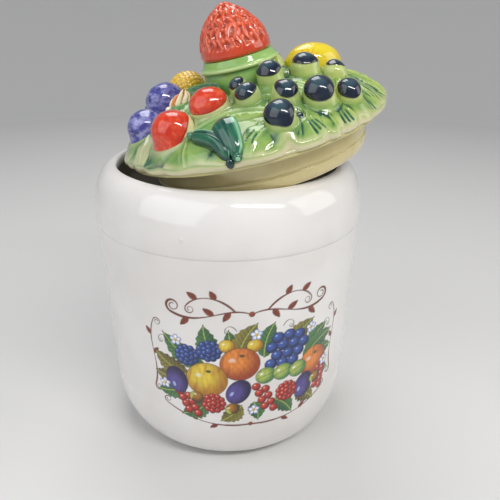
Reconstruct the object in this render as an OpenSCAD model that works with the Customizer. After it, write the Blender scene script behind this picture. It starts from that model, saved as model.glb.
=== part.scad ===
// Rumtopf pot: a glazed stoneware crock with a fruit-heaped lid that lies askew on its rim.
// Origin at the centre of the foot, on the surface the crock stands on. +Z is up, -Y is the front.

/* [Crock] */
// Height of the crock to the top of its rim
crock_h = 193; // [160:1:230]
// Radius of the crock at the widest line of its shoulder ring
shoulder_r = 90; // [84:0.5:100]
// Radius of the top line of the rounded rim
rim_r = 75; // [74:0.5:79]
// Radius of the mouth
mouth_r = 72.8; // [72:0.2:73.4]
// Depth of the rounding from the rim's top line down into the mouth
mouth_round = 4.5; // [3:0.5:7]
// Height of the widest line of the shoulder ring
shoulder_z = 165; // [150:1:175]
// Height of the crease under the shoulder ring
crease_z = 156.5; // [140:0.5:162]
// How far the wall steps in under the shoulder ring
crease_step = 0.9; // [0.4:0.1:2]
// Radius of the wall where the rounded base begins
wall_r = 84.6; // [78:0.2:88]
// Height of the rounded base
base_round = 46; // [30:1:60]
// Radius of the foot
foot_r = 58.7; // [50:0.1:66]
// Thickness of the wall
wall_t = 6; // [4:0.5:8]
// Thickness of the floor
floor_t = 8; // [6:0.5:12]
// Width of the foot ring
foot_ring_w = 6; // [4:0.5:10]
// Depth of the recess inside the foot ring
foot_recess = 2.5; // [1:0.5:4]

/* [Lid body] */
// Radius of the flange that covers the rim
flange_r = 84.5; // [80:0.5:86]
// Thickness of the flange
flange_t = 3.5; // [2.5:0.5:5]
// Radius of the locating ring that drops into the mouth
ring_r = 70.8; // [66:0.2:71.4]
// Depth of the locating ring below the flange
ring_h = 21.5; // [14:0.5:26]
// Depth of the groove round the locating ring, below the flange
groove_h = 12.2; // [6:0.2:13]
// Depth of the groove cut
groove_cut = 1.1; // [0.5:0.1:2]
// How far the bead at the foot of the ring draws in
bead_draw = 3.8; // [2:0.2:5]
// Thickness of the locating ring
ring_t = 6.5; // [5.5:0.5:8]
// Thickness of the lid over the hollow
shell_t = 5; // [4:0.5:7]
// Rise of the domed top of the lid body above the flange
shell_rise = 17; // [12:0.5:20]
// Radius of the dome where it meets the flange
shell_dome_r = 63; // [58:0.5:66]

/* [Leaf mound] */
// Radius of the leaf skirt at the tips of its leaves
skirt_r = 87.5; // [86:0.5:90]
// How far the skirt draws in between two leaves
skirt_notch = 1.6; // [0.4:0.1:2]
// Number of leaves round the skirt
leaf_count = 11; // [9:1:13]
// Rise of the mound above the flange
mound_h = 28; // [24:0.5:32]
// Fullness of the mound, higher is flatter on top
mound_power = 2.6; // [2:0.1:3.4]
// Thickness of the leaf edge
leaf_edge = 2.4; // [1.5:0.1:4]
// Rise of a leaf's middle above its sides
leaf_rise = 3.4; // [1:0.2:5]
// Height of a leaf's midrib
leaf_rib = 0.7; // [0:0.1:1.5]
// How far the leaf edge hangs past the flange's top
skirt_hang = 1.2; // [0.4:0.1:2]

/* [Knob] */
// Radius of the collar under the knob
collar_r = 24.4; // [22:0.2:26]
// Height of the collar's ridge above the flange
collar_ridge_z = 39.5; // [36:0.5:43]
// How far the ridge stands out
collar_ridge = 1.2; // [0.5:0.1:2]
// Radius of the collar's top
collar_top_r = 22; // [20:0.2:23]
// Radius of the strawberry knob at its widest
berry_knob_r = 23; // [21:0.2:26]
// Height of the strawberry knob
berry_knob_h = 31; // [26:0.5:38]
// Height of the strawberry's seat above the flange
knob_seat_z = 45.3; // [44:0.1:50]
// Radius of the rounding at the strawberry's lower edge
berry_edge = 2.5; // [1:0.5:4]

/* [Fruit] */
// Size of the blueberries against the listed radius
blueberry_size = 1; // [0.9:0.02:1.05]
// Size of the cherries against the listed half sizes
cherry_size = 1; // [0.9:0.02:1.05]
// Size of the plums against the listed half sizes
plum_size = 1; // [0.9:0.02:1.05]
// Half length of the lemon
lemon_half = 19; // [16:0.5:20]
// Radius of the lemon
lemon_r = 12.5; // [11:0.25:13]
// Radius of the golden fruit
golden_r = 10; // [8.5:0.25:10.5]
// Thickness of the clay that rises round each fruit
cradle_t = 1.1; // [0.8:0.1:2]

/* [Rest pose of the lid] */
// Tilt of the lid, its far side lowered into the mouth
lid_tilt = 14; // [10:0.5:16]
// Distance that the lid has slipped sideways
lid_slip = 17.3; // [12:0.1:20]
// Compass direction of the slip, from +X towards +Y
lid_slip_way = 5.8; // [0:0.2:12]
// Gap left between two seated pieces
seat_gap = 0.3; // [0.2:0.05:0.4]

/* [Hidden] */

// Fineness of turned shapes, of an arc in a profile and of the clay lumps
$fn = 96;
arc_steps = 14;
lump_fn = 14;

// How far below its middle a fruit is cut flat, as a share of its half height
seat_cut = 0.25;

// Steps of a fruit's outline, and the nipple at each end of the lemon
fruit_steps = 14;
lemon_nipple = 1.8;
golden_half = golden_r * 1.15;

// Bevels at the edges of the flange and of the locating ring's foot
flange_bevel = 0.8;
ring_bevel = 1.5;

// Height of the collar's ridge, and of the slope and the ledge above it
collar_bead_h = 1.6;
collar_slope_h = 2.2;
collar_ledge = 1;

// Outline of the strawberry: its steps, how full and how pointed it is
berry_steps = 24;
berry_full = 2.3;
berry_point = 0.72;

// Cradle under a fruit, against the fruit's own size: its belly, its foot, and how deep it is set
cradle_belly = 1.06;
cradle_foot = 1.15;
cradle_sink = 2;

// How far the ball that cuts a fruit's room must grow to clear its own flats
room_over = pow(1 / cos(180 / lump_fn), 2);

// Colours of the glaze and the painted relief
white_glaze = [0.93, 0.92, 0.91];
cream_glaze = [0.85, 0.81, 0.66];
leaf_green = [0.55, 0.72, 0.34];
collar_green = [0.50, 0.70, 0.38];
dark_leaf = [0.10, 0.36, 0.30];
strawberry_red = [0.80, 0.24, 0.15];
cherry_red = [0.82, 0.22, 0.14];
plum_blue = [0.30, 0.30, 0.60];
blueberry_navy = [0.07, 0.11, 0.22];
lemon_yellow = [0.90, 0.82, 0.18];
golden_yellow = [0.83, 0.67, 0.20];
bud_cream = [0.92, 0.84, 0.62];

// The lengths in the lists below are for a skirt radius of 87.5 mm, and grow with it
unit = skirt_r / 87.5;

// Fruit places on the mound: compass angle, share of the skirt radius, lift of the middle
// above the mound, half length, radius, turn of the long axis, its dip
BLUEBERRIES = [
  [-60, 0.39, 8.5, 7], [-24, 0.45, 7, 7.8], [-17, 0.66, 4.5, 7], [-96, 0.375, 5, 5.2],
  [-89, 0.525, 5, 6.6], [-69, 0.66, 7.5, 7.6], [-54.5, 0.775, 9, 9], [-41, 0.85, 6, 7.4],
  [-78, 0.82, 8, 8.5], [-66.5, 0.83, 1.5, 4],
  [52, 0.76, 6, 7.5], [66, 0.62, 7, 8], [79, 0.77, 6, 7], [60, 0.42, 6, 6.5], [84, 0.47, 6, 7]
];
CHERRIES = [
  [-120, 0.52, 6, 10.8, 9.4, 15, 0], [-133.5, 0.77, 6, 11.5, 10.6, 20, 0],
  [104, 0.7, 6, 11, 10, 40, 0], [128, 0.78, 5.5, 11, 10, 80, 0]
];
PLUMS = [
  [-168, 0.775, 5.5, 11, 9.3, 60, 0], [-188, 0.62, 9.5, 11.5, 9.3, 50, 0],
  [152, 0.78, 5.5, 12, 9.6, 30, 0]
];
LEMON = [21, 0.58, 4.5, lemon_half / unit, lemon_r / unit, 15, 14];
GOLDEN = [148, 0.47, 8, golden_half / unit, golden_r / unit, 20, 0];
BUD = [-162, 0.48, 6.5, 9, 4.6, 60, -60];

// Leaves that stand proud of the mound: points of compass angle, share of the skirt radius,
// lift above the mound and half width, from stalk to tip
BLADES = [
  [[-100, 0.7, 2.5, 6], [-97.5, 0.8, 4.2, 9], [-97, 0.9, 4, 8.5], [-99.5, 0.97, 3.4, 4]],
  [[-120, 0.8, 2.5, 3], [-112, 0.87, 4, 5], [-104.5, 0.93, 4, 5.5], [-100.5, 0.985, 3, 3]]
];
blade_flat = 0.42;
blade_core = 1.4;
blade_swell = 0.25;

// Profile of the crock
crease_r = shoulder_r - crease_step;
inner_wall_r = wall_r - wall_t;
inner_foot_r = foot_r - wall_t / 3;
rim_drop = crock_h - shoulder_z;
inner_round = base_round - floor_t;

// Heights of the lid, from the top of its flange
ring_foot = -flange_t - ring_h;
groove_z = -flange_t - groove_h;
bead_r = ring_r - bead_draw;
bead_h = ring_h - groove_h - groove_cut;
ring_in_r = ring_r - ring_t;
collar_foot_r = collar_r + seat_gap;

// The mound's mesh: leaves set the columns, rings run from the collar to the leaf edge
steps_per_leaf = 6;
columns = leaf_count * steps_per_leaf;
rings = 11;
dome_steps = 7;
dome_over = 1 / cos(45 / dome_steps);
leaf_turn = -97;
tier_turn = 180 / leaf_count;

// Tiers of leaves as shares of the way from the collar to the edge, and how softly they end
outer_tier = [0.45, 0.93];
inner_tier = [0.1, 0.55];
tier_start = 0.2;
tier_end = 0.15;
leaf_crown = 1.7;
rib_share = 0.1;

// The lid drops until its ring or a leaf meets the crock's rim
drop_samples = 120;

// Leaf that hangs down to the rim behind the lid's low side
rest_leaf_way = 145;
rest_leaf_spread = 15;
rest_samples = 8;

function smooth(x, low, high) =
  let (t = min(1, max(0, (x - low) / (high - low)))) t * t * (3 - 2 * t);

// Points of a quarter of an ellipse, from angle a0 to a1 about its centre
function arc(centre, rx, rz, a0, a1) = [
  for (i = [0 : arc_steps])
    let (a = a0 + (a1 - a0) * i / arc_steps)
      [centre.x + rx * cos(a), centre.y + rz * sin(a)]
];

// Height of the crock's rim above a distance from its axis, or far below where there is none
function rim_height(r) =
  r > shoulder_r || r < mouth_r ? -1000 :
  r >= rim_r
    ? shoulder_z + rim_drop * sqrt(max(0, 1 - pow((r - rim_r) / (shoulder_r - rim_r), 2)))
    : crock_h - mouth_round * (1 - sqrt(max(0, 1 - pow((rim_r - r) / (rim_r - mouth_r), 2))));

// A point of the lid, given by angle, distance from its axis and height, before the lid is lifted
function tilted(a, r, z) =
  let (x = r * cos(a - lid_slip_way))
  [
    lid_slip + x * cos(lid_tilt) - z * sin(lid_tilt),
    r * sin(a - lid_slip_way),
    x * sin(lid_tilt) + z * cos(lid_tilt)
  ];
function height_needed(q) = rim_height(norm([q.x, q.y])) - q.z;

bead_points = [
  for (k = [0 : 6])
    for (i = [0 : drop_samples - 1])
      let (a = 360 * i / drop_samples, s = 90 * k / 6)
        tilted(a, bead_r + bead_draw * cos(s), ring_foot + bead_h * (1 - sin(s)))
];
skirt_points = [
  for (i = [0 : drop_samples - 1])
    let (a = 360 * i / drop_samples) tilted(a, skirt_edge(a), -skirt_hang)
];
lid_z = max([for (q = concat(bead_points, skirt_points)) height_needed(q)]) + seat_gap;

// How much further the resting leaf can hang before some point of its edge meets the rim
function leaf_share(a) = 1 - smooth(turn_between(a, rest_leaf_way), 3, rest_leaf_spread);
function room_left(drop) = min([
  for (i = [-rest_samples : rest_samples])
    let (a = rest_leaf_way + i * rest_leaf_spread / (rest_samples + 1), share = leaf_share(a))
      for (r = [flange_r + seat_gap, skirt_edge(a) - seat_gap])
        let (q = tilted(a, r, -skirt_hang - drop * share))
          (lid_z + q.z - seat_gap - rim_height(max(mouth_r, norm([q.x, q.y]))))
            / (cos(lid_tilt) * share)
]);
first_drop = room_left(0);
second_drop = first_drop + room_left(first_drop);
rest_leaf_drop = max(0, second_drop + room_left(second_drop));

// Leaf edge seen from above, with one lobe for each leaf
function lobe(a) = abs(cos(leaf_count * (a - leaf_turn) / 2));
function skirt_edge(a) = skirt_r - skirt_notch * (1 - lobe(a));
function turn_between(a, b) = abs(((a - b + 540) % 360) - 180);
function hang(a) = skirt_hang + rest_leaf_drop * leaf_share(a);

// Mound surface above the flange: a dome, with an outer and an inner tier of leaves
function dome(r) = leaf_edge + (mound_h - leaf_edge) * (1 - pow(min(1, r / skirt_r), mound_power));
function across(a) =
  let (t = leaf_count * (a - leaf_turn) / 360, s = t - floor(t + 0.5)) abs(2 * s);
function leaf_bulge(a, q, tier) =
  (leaf_rise * (1 - pow(across(a), leaf_crown)) + (across(a) < rib_share ? leaf_rib : 0))
    * smooth(q, tier[0], tier[0] + tier_start) * (1 - smooth(q, tier[1], tier[1] + tier_end));
function mound(a, r, q) =
  dome(r) + max(leaf_bulge(a, q, outer_tier), leaf_bulge(a + tier_turn, q, inner_tier));

// Points of one column of the mound, round its section from the collar out and back beneath
function column(a) =
  let (edge = skirt_edge(a), low = hang(a), in_r = collar_foot_r)
  concat(
    [for (i = [0 : rings])
      let (q = i / rings, r = in_r + (edge - in_r) * q)
        [r, mound(a, r, q) - (i == rings ? leaf_edge / 3 : 0)]],
    [[edge - seat_gap, -low], [flange_r + seat_gap, -low], [flange_r + seat_gap, seat_gap]],
    [for (i = [0 : dome_steps])
      let (t = 90 * i / dome_steps)
        [
          in_r + (shell_dome_r + seat_gap - in_r) * dome_over * cos(t),
          max(seat_gap, (shell_rise + seat_gap) * dome_over * sin(t))
        ]]
  );

module mound_body() {
  sections = [for (i = [0 : columns - 1]) column(360 * i / columns)];
  n = len(sections[0]);
  points = [
    for (i = [0 : columns - 1])
      let (a = 360 * i / columns)
        for (p = sections[i]) [p.x * cos(a), p.x * sin(a), p.y]
  ];
  faces = [
    for (i = [0 : columns - 1], j = [0 : n - 1])
      let (i2 = (i + 1) % columns, j2 = (j + 1) % n, p = i * n + j, q = i * n + j2)
        for (f = [[p, i2 * n + j, i2 * n + j2], [p, i2 * n + j2, q]]) f
  ];
  polyhedron(points = points, faces = faces, convexity = 8);
}

// Puts its children at a place on the mound
module on_mound(way, share, lift) {
  r = share * skirt_r;
  translate([r * cos(way), r * sin(way), dome(r) + lift * unit])
    children();
}

// Half outline of a fruit along its axis: an oval, with a nipple at each end if it has one
function fruit_outline(half, r, nipple) = concat(
  [[0, -half - nipple]],
  nipple > 0 ? [[nipple * 0.8, -half - nipple * 0.8]] : [],
  [
    for (i = [1 : fruit_steps - 1])
      let (a = -90 + 180 * i / fruit_steps)
        [r * cos(a), half * sin(a)]
  ],
  nipple > 0 ? [[nipple * 0.8, half + nipple * 0.8]] : [],
  [[0, half + nipple]]
);

// A fruit turned about its long axis, cut flat where it sits on its cradle
module fruit(f, size = 1, nipple = 0) {
  half = f[3] * size * unit;
  r = f[4] * size * unit;
  on_mound(f[0], f[1], f[2])
    intersection() {
      rotate([0, 90 + f[6], f[5]])
        rotate_extrude()
          polygon(fruit_outline(half, r, nipple));
      translate([-2 * half, -2 * half, -r * seat_cut])
        cube([4 * half, 4 * half, 4 * half]);
    }
}

// A round fruit, cut flat in the same way
module round_fruit(b, r) {
  on_mound(b[0], b[1], b[2])
    intersection() {
      sphere(r);
      translate([-2 * r, -2 * r, -r * seat_cut])
        cube([4 * r, 4 * r, 4 * r]);
    }
}

// The room a fruit takes, with a small gap all round it
module fruit_room(f, size = 1) {
  half = (f[3] * size * unit + seat_gap) * room_over;
  r = (f[4] * size * unit + seat_gap) * room_over;
  on_mound(f[0], f[1], f[2])
    intersection() {
      rotate([0, 90 + f[6], f[5]])
        scale([r, r, half])
          sphere(1, $fn = lump_fn);
      translate([-2 * half, -2 * half, -f[4] * size * unit * seat_cut - seat_gap])
        cube([4 * half, 4 * half, 4 * half]);
    }
}

// A thin oval plate, its top at zero
module plate(half, r, thick = 0.6) {
  translate([0, 0, -thick])
    scale([half, r, 1])
      cylinder(r = 1, h = thick, $fn = lump_fn);
}

// Clay that rises from the mound to hold a fruit, its flat top just below the fruit
module fruit_cradle(f, size = 1) {
  r = f[4] * size * unit;
  half = f[3] * size * unit * cos(f[6]) + r * (1 - cos(f[6]));
  waist = sqrt(1 - seat_cut * seat_cut);
  on_mound(f[0], f[1], f[2])
    rotate([0, 0, f[5]])
      hull() {
        translate([0, 0, -r * seat_cut - seat_gap])
          plate(half * waist + cradle_t, r * waist + cradle_t);
        translate([0, 0, -r * (1 - seat_cut)])
          plate(half * cradle_belly, r * cradle_belly);
        translate([0, 0, -f[2] * unit - cradle_sink])
          plate(half * cradle_foot, r * cradle_foot);
      }
}

// Half sizes of a ball of a proud leaf
function leaf_ball(half, grow) =
  [half + grow, half + grow, (half * blade_swell + blade_core) * blade_flat + grow];

// Runs of a proud leaf, each hulled between two flattened balls
module blade(points, grow = 0) {
  for (i = [0 : len(points) - 2])
    hull()
      for (p = [points[i], points[i + 1]])
        on_mound(p[0], p[1], p[2])
          scale(leaf_ball(p[3] * unit, grow))
            sphere(1, $fn = lump_fn);
}

function berry(b) = [b[0], b[1], b[2], b[3], b[3], 0, 0];

// Moves the lid's own frame, with its flange's top at zero, to where the lid lies
module on_crock() {
  rotate([0, 0, lid_slip_way])
    translate([lid_slip, 0, lid_z])
      rotate([0, -lid_tilt, 0])
        rotate([0, 0, -lid_slip_way])
          children();
}

module crock() {
  outside = concat(
    [[0, foot_recess], [foot_r - foot_ring_w - foot_recess, foot_recess]],
    [[foot_r - foot_ring_w, 0]],
    arc([foot_r, base_round], wall_r - foot_r, base_round, -90, 0),
    arc([crease_r, shoulder_z], crease_step, shoulder_z - crease_z, -90, 0),
    arc([rim_r, shoulder_z], shoulder_r - rim_r, rim_drop, 0, 90)
  );
  inside = concat(
    arc([rim_r, crock_h - mouth_round], mouth_r - rim_r, mouth_round, 90, 0),
    arc(
      [mouth_r, shoulder_z],
      crease_r - wall_t - mouth_r,
      rim_drop - mouth_round - wall_t / 2,
      90, 0
    ),
    [[crease_r - wall_t, crease_z]],
    arc([inner_foot_r, base_round], inner_wall_r - inner_foot_r, inner_round, 0, -90),
    [[0, floor_t]]
  );
  color(white_glaze)
    rotate_extrude()
      polygon(concat(outside, inside));
}

module lid_shell() {
  section = concat(
    [[0, shell_rise], [collar_foot_r, shell_rise]],
    arc([collar_foot_r, 0], shell_dome_r - collar_foot_r, shell_rise, 90, 0),
    [[flange_r - flange_bevel, 0], [flange_r, -flange_bevel]],
    [[flange_r, flange_bevel - flange_t], [flange_r - flange_bevel, -flange_t]],
    [[ring_r, -flange_t], [ring_r, groove_z]],
    [[ring_r - groove_cut, groove_z - groove_cut / 2], [ring_r, groove_z - groove_cut]],
    arc([bead_r, ring_foot + bead_h], bead_draw, bead_h, 0, -90),
    [[ring_in_r + ring_bevel, ring_foot], [ring_in_r, ring_foot + ring_bevel]],
    arc([0, -shell_t], ring_in_r, shell_rise, 0, 90)
  );
  color(cream_glaze)
    on_crock()
      rotate_extrude()
        polygon(section);
}

module leaf_mound() {
  color(leaf_green)
    on_crock()
      difference() {
        union() {
          mound_body();
          for (b = BLUEBERRIES)
            fruit_cradle(berry(b), blueberry_size);
          for (f = CHERRIES)
            fruit_cradle(f, cherry_size);
          for (f = PLUMS)
            fruit_cradle(f, plum_size);
          for (f = [LEMON, GOLDEN, BUD])
            fruit_cradle(f);
        }
        for (b = BLUEBERRIES)
          fruit_room(berry(b), blueberry_size);
        for (f = CHERRIES)
          fruit_room(f, cherry_size);
        for (f = PLUMS)
          fruit_room(f, plum_size);
        for (f = [LEMON, GOLDEN, BUD])
          fruit_room(f);
        for (points = BLADES)
          blade(points, seat_gap);
      }
}

module knob_collar() {
  section = concat(
    [[0, shell_rise], [collar_r, shell_rise]],
    arc([collar_r, collar_ridge_z], collar_ridge, collar_bead_h, -90, 45),
    [[collar_top_r + collar_ledge, collar_ridge_z + collar_slope_h]],
    [[collar_top_r, knob_seat_z], [0, knob_seat_z]]
  );
  color(collar_green)
    on_crock()
      rotate_extrude()
        polygon(section);
}

function strawberry_r(t) = berry_knob_r * pow(1 - pow(t, berry_full), berry_point);

module strawberry_knob() {
  rise = berry_knob_h - berry_edge;
  section = concat(
    [[0, 0]],
    arc([berry_knob_r - berry_edge, berry_edge], berry_edge, berry_edge, -90, 0),
    [
      for (i = [1 : berry_steps - 1])
        [strawberry_r(i / berry_steps), berry_edge + rise * i / berry_steps]
    ],
    [[0, berry_knob_h]]
  );
  color(strawberry_red)
    on_crock()
      translate([0, 0, knob_seat_z])
        rotate_extrude()
          polygon(section);
}

module cherries() {
  color(cherry_red)
    on_crock()
      for (f = CHERRIES)
        fruit(f, cherry_size);
}

module plums() {
  color(plum_blue)
    on_crock()
      for (f = PLUMS)
        fruit(f, plum_size);
}

module blueberries() {
  color(blueberry_navy)
    on_crock()
      for (b = BLUEBERRIES)
        round_fruit(b, b[3] * blueberry_size * unit);
}

module lemon() {
  color(lemon_yellow)
    on_crock()
      fruit(LEMON, 1, lemon_nipple);
}

module golden_fruit() {
  color(golden_yellow)
    on_crock()
      fruit(GOLDEN);
}

module blossom_bud() {
  color(bud_cream)
    on_crock()
      fruit(BUD);
}

module curled_leaves() {
  color(dark_leaf)
    on_crock()
      for (points = BLADES)
        blade(points);
}

crock();
lid_shell();
leaf_mound();
knob_collar();
strawberry_knob();
cherries();
plums();
blueberries();
lemon();
golden_fruit();
blossom_bud();
curled_leaves();
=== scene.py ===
from collections import namedtuple

import bpy
import numpy as np
from mathutils import Matrix, Quaternion, Vector
from numpy import (arange, arctan2, array, clip, concatenate, cos, exp, floor, full, hypot, linspace, maximum, minimum,
                   ones, pi, radians, sign, sin, sqrt, stack, vstack, where, zeros)


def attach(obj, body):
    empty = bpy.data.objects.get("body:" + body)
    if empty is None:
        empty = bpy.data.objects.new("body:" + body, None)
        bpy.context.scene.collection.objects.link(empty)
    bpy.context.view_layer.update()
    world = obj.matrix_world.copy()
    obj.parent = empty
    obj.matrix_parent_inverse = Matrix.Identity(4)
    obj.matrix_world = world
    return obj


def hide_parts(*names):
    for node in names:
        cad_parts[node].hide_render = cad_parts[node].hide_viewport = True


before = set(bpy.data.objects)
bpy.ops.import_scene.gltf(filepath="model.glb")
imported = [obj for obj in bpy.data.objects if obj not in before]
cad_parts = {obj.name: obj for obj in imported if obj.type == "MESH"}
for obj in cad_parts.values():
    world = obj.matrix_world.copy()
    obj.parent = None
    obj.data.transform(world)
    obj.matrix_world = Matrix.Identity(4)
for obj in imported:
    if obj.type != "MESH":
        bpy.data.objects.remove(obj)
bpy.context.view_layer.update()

MM = 0.001

# ---------------------------------------------------------------- sizes in mm, as in the part's source
CROCK_H, SHOULDER_R, RIM_R, MOUTH_R, MOUTH_ROUND = 193, 90, 75, 72.8, 4.5
SHOULDER_Z, CREASE_Z, CREASE_STEP, WALL_R, BASE_ROUND = 165, 156.5, 0.9, 84.6, 46
FOOT_R, WALL_T, FLOOR_T, FOOT_RING_W, FOOT_RECESS = 58.7, 6, 8, 6, 2.5
FLANGE_R, FLANGE_T, RING_R, RING_H, GROOVE_H, GROOVE_CUT = 84.5, 3.5, 70.8, 21.5, 12.2, 1.1
BEAD_DRAW, RING_T, SHELL_T, SHELL_RISE, DOME_R = 3.8, 6.5, 5, 17, 63
SKIRT_R, LEAF_COUNT, MOUND_H, MOUND_POWER, LEAF_EDGE, SKIRT_HANG = 87.5, 11, 28, 2.6, 2.4, 1.2
COLLAR_R, RIDGE_Z, COLLAR_TOP_R, KNOB_SEAT_Z = 24.4, 39.5, 22, 45.3
KNOB_R, KNOB_H, KNOB_EDGE = 23, 31, 2.5
LID_TILT, LID_SLIP, SLIP_WAY, LID_Z, GAP = 14, 17.3, 5.8, 215.125, 0.3
REST_LEAF_WAY, REST_LEAF_SPREAD, REST_LEAF_DROP = 145, 15, 7.8

# compass angle, share of the skirt radius, lift, half length, radius, turn, dip; a berry is round
BERRIES = [
    (-60, 0.39, 8.5, 7), (-24, 0.45, 7, 7.8), (-17, 0.66, 4.5, 7), (-96, 0.375, 5, 5.2),
    (-89, 0.525, 5, 6.6), (-69, 0.66, 7.5, 7.6), (-54.5, 0.775, 9, 9), (-41, 0.85, 6, 7.4),
    (-78, 0.82, 8, 8.5), (-66.5, 0.83, 1.5, 4),
    (52, 0.76, 6, 7.5), (66, 0.62, 7, 8), (79, 0.77, 6, 7), (60, 0.42, 6, 6.5), (84, 0.47, 6, 7),
]
CHERRIES = [
    (-120, 0.52, 6, 10.8, 9.4, 15, 0), (-133.5, 0.77, 6, 11.5, 10.6, 20, 0),
    (104, 0.7, 6, 11, 10, 40, 0), (128, 0.78, 5.5, 11, 10, 80, 0),
]
PLUMS = [(-168, 0.775, 5.5, 11, 9.3, 60, 0), (-188, 0.62, 9.5, 11.5, 9.3, 50, 0), (152, 0.78, 5.5, 12, 9.6, 30, 0)]
LEMON = (21, 0.58, 4.5, 19, 12.5, 15, 14)
GOLDEN = (148, 0.47, 8, 11.5, 10, 20, 0)
BUD = (-162, 0.48, 6.5, 9, 4.6, 60, -60)

# how a fruit sits in the picture, from its own place: east, north, up, size, and its cap's axis and angle
BERRY_LOOKS = [
    (-1, 0, -1.4, 1.16, (-0.12, -0.45, 1), 64), (2.2, 0, -2.4, 1.15, (0.22, -0.2, 1), 58),
    (0, 0, -1.4, 1.06, (0.35, 0, 1), 50), (0, 0, 0, 1.1, (-0.3, -0.45, 1), 60),
    (0, -0.5, -1.2, 1.14, (-0.25, -0.5, 1), 62), (0.6, -0.4, -2.2, 1.05, (0.35, -0.75, 1), 57),
    (0.2, -0.5, -2.9, 1.04, (0.05, -1, 1), 62), (0.4, -0.3, -1.3, 1.03, (0.25, -0.9, 1), 60),
    (0.4, -1.4, -3.6, 1.05, (-0.1, -1, 1), 66), (-3.2, -0.3, -2, 0.9, (-0.6, -0.7, 1), 62),
]
BACK_LOOKS = [(0, 0, -1.5, 1.1, (0.1, 0.7, 1), 60)] * 5
CHERRY_LOOKS = [
    (-0.2, -0.8, -3.6, 1.12, (-0.22, -0.6, 1.15), 77), (0.2, -1, -2.6, 1.14, (-0.7, -0.75, 0.8), 88),
    (0, 0, -2, 1.08, (0.2, 0.8, 0.8), 84), (0, 0, -2, 1.08, (-0.3, 0.8, 0.8), 84),
]
PLUM_LOOKS = [
    (-0.2, -0.6, -2.6, 1.18, (-0.5, -0.5, 0.9), 112), (0.6, -1, -2.6, 1.2, (-0.5, -0.4, 0.9), 108),
    (0, 0, -2, 1.08, (-0.2, 0.8, 0.8), 96),
]
LEMON_LOOK, GOLDEN_LOOK, BUD_LOOK = (0.4, 0, 0.2, 1), (-3.4, 0, -2.8, 1.12), (-1.4, -1, -1.6, 1)


# ---------------------------------------------------------------- small helpers
def lin(code):
    """A hex colour as linear red, green and blue, with an alpha of 1."""
    c = array([int(code[k:k + 2], 16) / 255 for k in (0, 2, 4)])
    return (*where(c <= 0.04045, c / 12.92, ((c + 0.055) / 1.055) ** 2.4), 1)


def smooth(x, low, high):
    """A soft step from 0 at low to 1 at high, which may be the lesser of the two."""
    t = clip((x - low) / (high - low), 0, 1)
    return t * t * (3 - 2 * t)


def bell(x, width):
    return exp(-(x / width) ** 2)


def waves(x, y, z, scale, seed, n=5):
    """Smooth seeded noise from about -1 to 1."""
    g, out = np.random.default_rng(seed), 0
    for _ in range(n):
        d = g.normal(size=3)
        d /= np.linalg.norm(d)
        k = 2 * pi / scale * g.uniform(0.6, 1.6)
        out = out + sin(k * (d[0] * x + d[1] * y + d[2] * z) + g.uniform(0, 6.28))
    return out / sqrt(n) / 1.2


def circle(n):
    return linspace(0, 2 * pi, n, endpoint=False)


def arc(cx, cz, rx, rz, a0, a1, n):
    a = radians(linspace(a0, a1, n))
    return np.c_[cx + rx * cos(a), cz + rz * sin(a)]


def along(x, y, x0, y0, way):
    """How far points lie from a place in a direction, and how far to its left."""
    return (x - x0) * cos(way) + (y - y0) * sin(way), (y - y0) * cos(way) - (x - x0) * sin(way)


def from_to(x, y, x0, y0, x1, y1):
    """The share of a line at which points lie, how far to its left they are, and its length."""
    length = hypot(x1 - x0, y1 - y0)
    u, w = along(x, y, x0, y0, arctan2(y1 - y0, x1 - x0))
    return u / length, w, length


def resample(points, n, rounds):
    """A path through the points in n steps, with its corners smoothed in several rounds."""
    points = array(points, float)
    t = linspace(0, len(points) - 1, n)
    path = stack([np.interp(t, arange(len(points)), column) for column in points.T], -1)
    for _ in range(rounds):
        path[1:-1] = (path[:-2] + 2 * path[1:-1] + path[2:]) / 4
    return path


def unit(v):
    return v / np.linalg.norm(v, axis=-1, keepdims=True)


def rot(axis, degrees):
    c, s = cos(radians(degrees)), sin(radians(degrees))
    return array([[c, 0, s], [0, 1, 0], [-s, 0, c]] if axis == "y" else [[c, -s, 0], [s, c, 0], [0, 0, 1]])


LID_ROT = rot("z", SLIP_WAY) @ rot("y", -LID_TILT) @ rot("z", -SLIP_WAY)
LID_POS = rot("z", SLIP_WAY) @ array([LID_SLIP, 0, LID_Z])


# ---------------------------------------------------------------- meshes
def skin(rows, wrap=False, ends=True):
    """Vertices and faces over rows of points, each row a closed ring, with a fan over both ends."""
    m, n, _ = rows.shape
    v, k, k2 = rows.reshape(-1, 3), arange(n), (arange(n) + 1) % n
    i = arange(m if wrap else m - 1)[:, None]
    i2 = (i + 1) % m
    faces = stack([i * n + k, i * n + k2, i2 * n + k2, i2 * n + k], -1).reshape(-1, 4).tolist()
    if ends:
        v = vstack([v, rows[0].mean(0), rows[-1].mean(0)])
        faces += np.c_[full(n, m * n), k2, k].tolist()
        faces += np.c_[full(n, m * n + 1), (m - 1) * n + k, (m - 1) * n + k2].tolist()
    return v, faces


def solid(rows, at, mean=False):
    """A closed skin and its attributes; the middle of each end has 0 or else its ring's mean."""
    fans = {k: [x[0].mean(), x[-1].mean()] if mean else [0, 0] for k, x in at.items()}
    return *skin(rows), {k: concatenate([x.ravel(), fans[k]]) for k, x in at.items()}


def join(parts):
    """One set of vertices, faces and attributes out of several."""
    faces, base = [], 0
    for v, f, _ in parts:
        faces += [[k + base for k in q] for q in f]
        base += len(v)
    return vstack([p[0] for p in parts]), faces, {k: concatenate([p[2][k] for p in parts]) for k in parts[0][2]}


def inside_out(v, faces):
    a, b, c, d = v[array([(*f[:3], f[-1]) for f in faces]).T]
    return (a * (np.cross(b, c) + np.cross(c, d))).sum() < 0


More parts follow.
